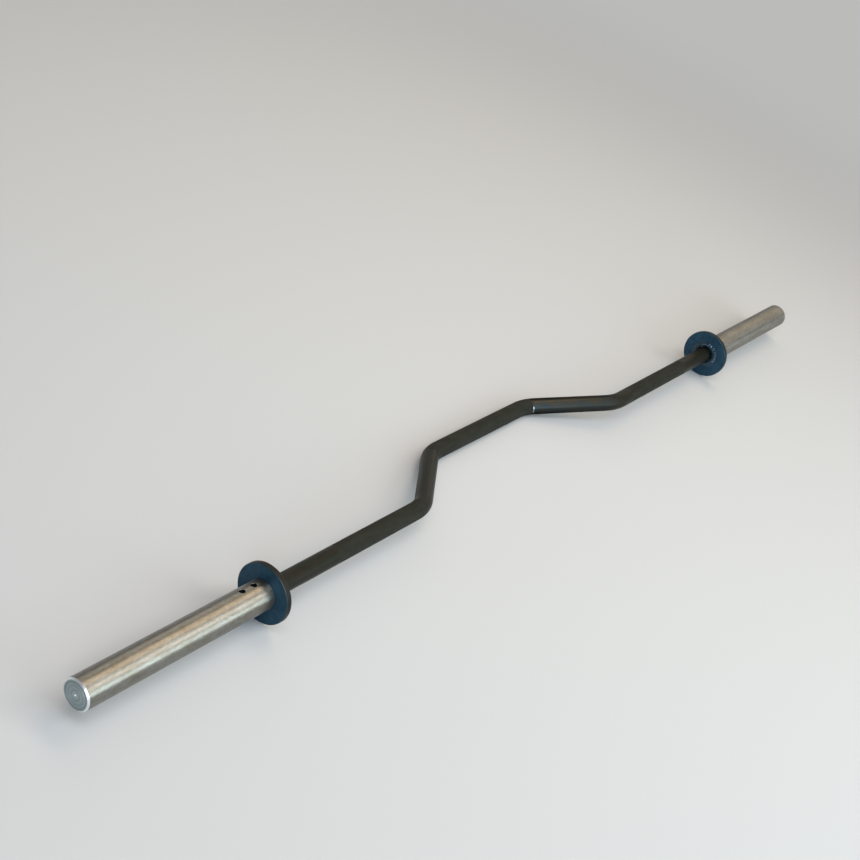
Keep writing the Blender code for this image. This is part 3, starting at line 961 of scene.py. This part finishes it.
# %% Build the sleeves
def tilted(local, angle):
    """Turn local places about the first axis, so that angle zero comes to the given angle."""
    cos, sin = math.cos(angle), math.sin(angle)
    return local @ np.array([(1, 0, 0), (0, cos, sin), (0, -sin, cos)])


def sleeve_tube():
    """The whole tube with both holes, with the row of holes at angle zero."""
    start = -math.tau * PATCH / 2 / SLEEVE_COLUMNS
    places = ring_grid(tube_outline[:, 0], tube_outline[:, 1], SLEEVE_COLUMNS, start)
    rows = len(places)
    quads = ring_quads(rows, SLEEVE_COLUMNS, closed=True)
    kept = np.ones((rows, SLEEVE_COLUMNS), bool)
    all_places = [places.reshape(-1, 3)]
    patches = []
    total = rows * SLEEVE_COLUMNS
    for index, depth in enumerate(screw_depths):
        outer_row = outer_start + index * (PATCH + 1)
        bore_row = bore_start + len(bore_wall) - 1 - index * (PATCH + 1)
        kept[outer_row:outer_row + PATCH, :PATCH] = False
        kept[bore_row - PATCH:bore_row, :PATCH] = False
        outer_edge, edge_rows, edge_columns = square_edge(outer_row, 1)
        bore_edge = square_edge(bore_row, -1)[0]
        rings = hole_rings(depth, edge_rows, edge_columns)
        ring_numbers = total + np.arange(rings.shape[0] * rings.shape[1]).reshape(rings.shape[:2])
        loops = np.concatenate((outer_edge[None], ring_numbers, bore_edge[None]))
        following = np.roll(loops, -1, axis=1)
        patches.append(np.stack(
            (loops[:-1], loops[1:], following[1:], following[:-1]), axis=-1).reshape(-1, 4))
        all_places.append(rings.reshape(-1, 3))
        total += rings.shape[0] * rings.shape[1]
    middle = (tube_outline + np.roll(tube_outline, -1, axis=0)) / 2
    faced = middle[:, 0] > SLEEVE_END - EDGE_EASE / 4
    outside = middle[:, 1] > BORE_RADIUS + EDGE_EASE
    chamfered = (middle[:, 0] > SLEEVE_END - END_CHAMFER) & outside
    painted = middle[:, 0] < SLEEVE_START + MOUTH_CHAMFER + 2 * EDGE_EASE
    # The bore takes the near-black finish as painted shade.
    in_bore_shade = middle[:, 1] < BORE_RADIUS + EDGE_EASE / 4
    at_mouth = painted & (middle[:, 1] < LIP_RADIUS - EDGE_EASE)
    slots = np.select(
        [faced, chamfered, in_bore_shade, at_mouth, painted],
        [FACED, CHAMFER, SHADE_DARK, CHIPPED, ENAMEL], STEEL)
    slots = np.broadcast_to(slots[:, None], kept.shape)[kept]
    patch_faces = np.concatenate(patches)
    # The wall of each hole takes the near-black finish as painted shade.
    strip_slots = np.where(np.arange(len(loops) - 1) == SHADED_HOLE_WALL_STRIP, SHADE_DARK, STEEL)
    patch_slots = np.tile(np.repeat(strip_slots, loops.shape[1]), len(patches))
    slots = np.concatenate((slots, patch_slots))
    return np.concatenate(all_places), [quads[kept], patch_faces], slots


for side_name, side in SIDES.items():
    local, face_sets, slots = sleeve_tube()
    places = carried(tilted(local, SCREW_ANGLE[side_name]), *end_of_bar(side))
    tube = add_piece(
        f"{side_name}_sleeve_tube", f"{side_name}_sleeve", places, face_sets,
        [sleeve_steel, end_steel, weld_enamel, chamfer_steel, screw_steel, mouth_enamel],
        slots=slots, stands_for=[f"{side_name}_sleeve"])

# %% [markdown]
# ## The end plugs
# A plug closes each sleeve, and both are faced off together on the lathe. The face shows rings
# round a small centre hole, where the tailstock held the work. The rings are shallow waves in
# the outline, so they are really there when the light rakes across them.

# %% Build the end plugs
PLUG_COLUMNS = 128
PLUG_CHAMFER = 0.001
CENTRE_HOLE_RADIUS = 0.002
CENTRE_HOLE_DEPTH = 0.0016
RING_PITCH = 0.0011
RING_HEIGHT = 0.00003
ROWS_PER_RING = 6
GAP_FILLED = 0.8

cap_radius = PLUG_RADIUS + FIT * GAP_FILLED
face_radius = np.arange(
    cap_radius - 2 * EDGE_EASE, CENTRE_HOLE_RADIUS + EDGE_EASE, -RING_PITCH / ROWS_PER_RING)
face_depth = SLEEVE_END - RING_HEIGHT * (1 - np.cos(math.tau * face_radius / RING_PITCH))
plug_outline = np.concatenate((
    [(PLUG_START, 0.0), (PLUG_START, cap_radius - PLUG_CHAMFER),
     (PLUG_START + PLUG_CHAMFER, cap_radius), (SLEEVE_END - EDGE_EASE / 2, cap_radius),
     (SLEEVE_END, cap_radius - EDGE_EASE / 2)],
    np.stack((face_depth, face_radius), axis=-1),
    [(SLEEVE_END, CENTRE_HOLE_RADIUS), (SLEEVE_END - CENTRE_HOLE_DEPTH, 0.0)]))
for side_name, side in SIDES.items():
    local, face_sets = solid_of_revolution(plug_outline, PLUG_COLUMNS)
    in_hole = np.repeat([0, 1], [face_sets[0].size // 4 + PLUG_COLUMNS, PLUG_COLUMNS])
    plug = add_piece(
        f"{side_name}_end_cap", f"{side_name}_sleeve", carried(local, *end_of_bar(side)),
        face_sets, [end_steel, chamfer_steel], slots=in_hole,
        stands_for=[f"{side_name}_end_plug"])

# %% [markdown]
# ## The set screws
# Two headless screws sit in each sleeve, with their tips in the journal's grooves. A hexagon
# socket is a round socket whose radius depends on the angle: it is the apothem divided by the
# cosine of the angle from the nearest flat. Each row says how much of that shape it takes.

# %% Build the set screws
SCREW_COLUMNS = 48
SCREW_RADIUS = 0.00475
SCREW_CHAMFER = 0.0006
SCREW_SINK = 0.0032
DOG_RADIUS = 0.0031
DOG_LENGTH = 0.0032
SOCKET_APOTHEM = 0.0024
SOCKET_DEPTH = 0.004
SOCKET_EASE = 0.0002
SOCKET_EASE_SHARE = 0.7
DRILL_POINT = 0.0006
DOG_EASE = 0.0003

screw_top = SLEEVE_RADIUS - SCREW_SINK
screw_tip = JOURNAL_RADIUS - GROOVE_DEPTH + FIT
socket_floor = screw_top - SOCKET_DEPTH
shoulder = screw_tip + DOG_LENGTH
screw_rows = np.array([
    (socket_floor - DRILL_POINT, 0.0, 0),
    (socket_floor, SOCKET_APOTHEM, 1),
    (screw_top - SOCKET_EASE, SOCKET_APOTHEM, 1),
    (screw_top, SOCKET_APOTHEM + SOCKET_EASE, SOCKET_EASE_SHARE),
    (screw_top, SCREW_RADIUS - SCREW_CHAMFER, 0),
    (screw_top - SCREW_CHAMFER, SCREW_RADIUS, 0),
    (shoulder + SCREW_RADIUS - DOG_RADIUS, SCREW_RADIUS, 0),
    (shoulder, DOG_RADIUS, 0),
    (screw_tip + DOG_EASE, DOG_RADIUS, 0),
    (screw_tip, DOG_RADIUS - DOG_EASE, 0),
    (screw_tip, 0.0, 0)])


def set_screw():
    """A turned solid whose rows are stretched from a circle towards a hexagon."""
    places, face_sets = solid_of_revolution(screw_rows[:, :2], SCREW_COLUMNS)
    angle = math.tau * np.arange(SCREW_COLUMNS) / SCREW_COLUMNS
    from_flat = (angle + math.pi / 6) % (math.pi / 3) - math.pi / 6
    hexagon = 1 / np.cos(from_flat)
    share = screw_rows[1:-1, 2][:, None]
    stretch = (1 + share * (hexagon - 1)).reshape(-1, 1)
    places[:-2, 1:] *= stretch
    return places, face_sets


for side_name, side in SIDES.items():
    angle = SCREW_ANGLE[side_name]
    outward = (0, math.cos(angle), math.sin(angle))
    sideways = (0, -math.sin(angle), math.cos(angle))
    for place, depth in zip(("inner", "outer"), screw_depths):
        local, face_sets = set_screw()
        origin = (side * (FLANGE_INNER_X + depth), AXIS_Y, AXIS_Z)
        places = carried(local, origin, (outward, (1, 0, 0), sideways))
        screw = add_piece(
            f"{side_name}_{place}_screw", f"{side_name}_sleeve", places, face_sets,
            [screw_steel], stands_for=[f"{side_name}_{place}_set_screw"])

# %% [markdown]
# ## Seen, but no light
# The floor and the backdrop need an even pale tone far away, where no lamp reaches. A brighter
# world would give it, but it would also light the bar. So the tone is shown only to rays that
# come straight from the camera, or by way of a mirror or glass. Light Path tells these rays from
# the others.

# %% Tell the rays that look from those that light
BACKDROP_TONE = (0.50, 0.50, 0.493)


def combined(finish, first, second, operation="ADD", clamped=False):
    """Sum of two numbers, or their product if operation is MULTIPLY."""
    node = add_node(
        finish, "ShaderNodeMath", {0: first, 1: second},
        operation=operation, use_clamp=clamped)
    return node.outputs["Value"]


def looking(finish):
    """1 for a ray from the camera, off a mirror or through glass, and 0 for all others."""
    path = add_node(finish, "ShaderNodeLightPath", {}).outputs
    camera_or_mirror = combined(finish, path["Is Camera Ray"], path["Is Glossy Ray"])
    return combined(finish, camera_or_mirror, path["Is Transmission Ray"], clamped=True)


print("backdrop tone", BACKDROP_TONE)

# %% [markdown]
# ## The floor
# The bar lies on a plain pale floor. A photographer's paper runs on and up behind the object, so
# that no horizon shows. Here the floor stays flat and fades into the backdrop's tone a few metres
# out, which needs no curved sheet. The floor isn't part of the object.

# %% Make the floor
FLOOR_SIZE = 200.0
FLOOR_COLOUR = (0.495, 0.50, 0.515)
FADE_START = 1.3
FADE_END = 2.9

floor_mesh = bpy.data.meshes.new("studio_floor")
half = FLOOR_SIZE / 2
floor_mesh.from_pydata(
    [(-half, -half, 0), (half, -half, 0), (half, half, 0), (-half, half, 0)], [], [(0, 1, 2, 3)])
floor = bpy.data.objects.new("studio_floor", floor_mesh)
bpy.context.scene.collection.objects.link(floor)
floor_finish, floor_shader = start_finish("studio_floor")
plug_in(floor_finish, floor_shader, {
    "Base Color": (*FLOOR_COLOUR, 1), "Roughness": 0.9, "Specular IOR Level": 0.1})
away = add_node(
    floor_finish, "ShaderNodeVectorMath", {0: object_place(floor_finish)}, operation="LENGTH")
faded = ranged(
    floor_finish, away.outputs["Value"], 0, 1, FADE_START, FADE_END, change="SMOOTHSTEP")
tone = add_node(floor_finish, "ShaderNodeEmission", {"Color": (*BACKDROP_TONE, 1)})
both = add_node(floor_finish, "ShaderNodeMixShader", {
    0: combined(floor_finish, faded, looking(floor_finish), "MULTIPLY"),
    1: floor_shader.outputs["BSDF"], 2: tone.outputs["Emission"]})
plug_in(floor_finish, floor_finish.node_tree.nodes["Material Output"], {
    "Surface": both.outputs["Shader"]})
floor_mesh.materials.append(floor_finish)
print("floor", FLOOR_SIZE, "m across, faded from", FADE_START, "to", FADE_END, "m")

# %% [markdown]
# ## Light
# Bare steel shows whatever stands round it, so the lamps are shapes for it to mirror. The key
# lamp hangs nearly overhead and keeps the shadow short. Four more form an arch from behind the
# bar to in front of it, and each draws one long band on the near sleeve: a dim one at the upper
# edge, then a warm, a pale and a cool one. The far sleeve has its own lamp, and the polished
# slope has a blue and a brown one. Two small lamps beside the camera light the end of the sleeve
# and the flange. One big lamp would be simpler, but it would leave the steel flat and white.

# %% Hang the lamps
def add_softbox(name, place, target, size, brightness, colour, grid=180):
    """An area lamp facing its target. brightness is what its surface would show as from there.

    A grid below 180 degrees keeps the light inside that fan, as the slats on a real softbox do.
    Blender gathers the same energy into the fan, which lifts the middle by
    tan(half) / (tan(half) - half), so the energy is divided by that.
    """
    lamp = bpy.data.lights.new(name, "AREA")
    lamp.shape = "RECTANGLE"
    lamp.size, lamp.size_y = size
    lamp.energy = brightness * math.pi * size[0] * size[1]
    if grid < 180:
        half_fan = math.radians(grid) / 2
        lamp.spread = 2 * half_fan
        lamp.energy *= (math.tan(half_fan) - half_fan) / math.tan(half_fan)
    lamp.color = colour
    holder = bpy.data.objects.new(name, lamp)
    facing = Vector(target) - Vector(place)
    turned_to = facing.to_track_quat("-Z", "Y").to_matrix().to_4x4()
    holder.matrix_world = Matrix.Translation(place) @ turned_to
    holder.visible_camera = False
    bpy.context.scene.collection.objects.link(holder)


WARM = (1.0, 0.82, 0.585)
OLIVE = (1.0, 0.92, 0.76)
PALE = (1.0, 0.955, 0.85)
COOL = (0.93, 1.0, 0.95)
BLUE = (0.63, 0.87, 1.0)
BROWN = (1.0, 0.68, 0.38)
WHITE = (0.89, 0.95, 1.0)
NEAR_SLEEVE = (-0.9, 0, 0.05)
FAR_SLOPE = (0.24, 0.03, 0.04)
LAMPS = {
    "key_lamp": ((-1.2, -0.9, 3.6), (-0.5, 0, 0), (3.8, 1.2), 4.7, WHITE),
    "edge_lamp": ((1.63, 2.81, 2.67), NEAR_SLEEVE, (2.4, 2.6), 1.55, OLIVE, 120),
    "warm_lamp": ((1.63, 0.33, 3.88), NEAR_SLEEVE, (2.4, 1.4), 5.3, WARM, 140),
    "pale_lamp": ((1.63, -2.36, 3.08), NEAR_SLEEVE, (2.4, 1.7), 5.9, PALE, 120),
    "cool_lamp": ((1.63, -3.61, 1.36), NEAR_SLEEVE, (2.2, 1.7), 4.9, COOL, 110),
    "far_lamp": ((4.2, 0.6, 1.5), (0.9, 0, 0.05), (2.8, 1.4), 1.2, OLIVE, 150),
    "blue_lamp": ((0.0, -2.9, 1.3), FAR_SLOPE, (2.4, 1.9), 3.8, BLUE, 100),
    "brown_lamp": ((1.6, 0.5, 3.0), FAR_SLOPE, (1.6, 1.2), 1.5, BROWN, 80),
    "camera_lamp": ((-3.6, -1.6, 2.3), NEAR_SLEEVE, (1.2, 1.0), 8.0, WHITE),
    "flange_lamp": ((-3.9, -1.7, 0.7), NEAR_SLEEVE, (1.2, 1.0), 7.0, WHITE),
}
for name, settings in LAMPS.items():
    add_softbox(name, *settings)
print(len(LAMPS), "lamps")

# %% [markdown]
# ### Backdrop
# The world fills the shadows with a weak even grey. Low down it shows the backdrop's tone, which
# meets the floor without an edge and goes over into the grey higher up.

# %% Make the world
WORLD_GREY = (0.22, 0.22, 0.22)
BACKDROP_TOP = 0.40

world = bpy.data.worlds.new("studio")
world.use_nodes = True
direction = add_node(world, "ShaderNodeTexCoord", {}).outputs["Generated"]
upwards = add_node(world, "ShaderNodeSeparateXYZ", {"Vector": direction}).outputs["Z"]
low_down = ranged(world, upwards, 1, 0, 0.0, BACKDROP_TOP)
backdrop = combined(world, low_down, looking(world), "MULTIPLY")
plug_in(world, world.node_tree.nodes["Background"], {
    "Color": graded(world, backdrop, WORLD_GREY, BACKDROP_TONE, 0, 1), "Strength": 1.0})
bpy.context.scene.world = world
print("world grey", WORLD_GREY, "below", BACKDROP_TOP, "the backdrop's tone")

# %% [markdown]
# ## Camera
# The view is from beyond the left end, above the bar and a little in front of it, with the
# camera tipped sideways so that the bar runs from corner to corner. Heading, tilt and roll are
# three turns, made in that order. They were fitted to the ends, bends and flanges of the bar.

# %% Place the camera
CAMERA_PLACE = (-2.2556, -0.8131, 1.6201)
CAMERA_HEADING = 23.270
CAMERA_TILT = -34.380
CAMERA_ROLL = 26.964
CAMERA_LENS = 64.88

camera_data = bpy.data.cameras.new("camera")
camera_data.lens = CAMERA_LENS
camera_data.sensor_width = 36.0
camera = bpy.data.objects.new("camera", camera_data)
camera.matrix_world = (
    Matrix.Translation(CAMERA_PLACE)
    @ Matrix.Rotation(math.radians(CAMERA_HEADING - 90), 4, "Z")
    @ Matrix.Rotation(math.radians(CAMERA_TILT + 90), 4, "X")
    @ Matrix.Rotation(math.radians(CAMERA_ROLL), 4, "Z"))
bpy.context.scene.collection.objects.link(camera)
bpy.context.scene.camera = camera
bpy.context.scene.view_settings.view_transform = "Standard"
print("lens", CAMERA_LENS, "mm")
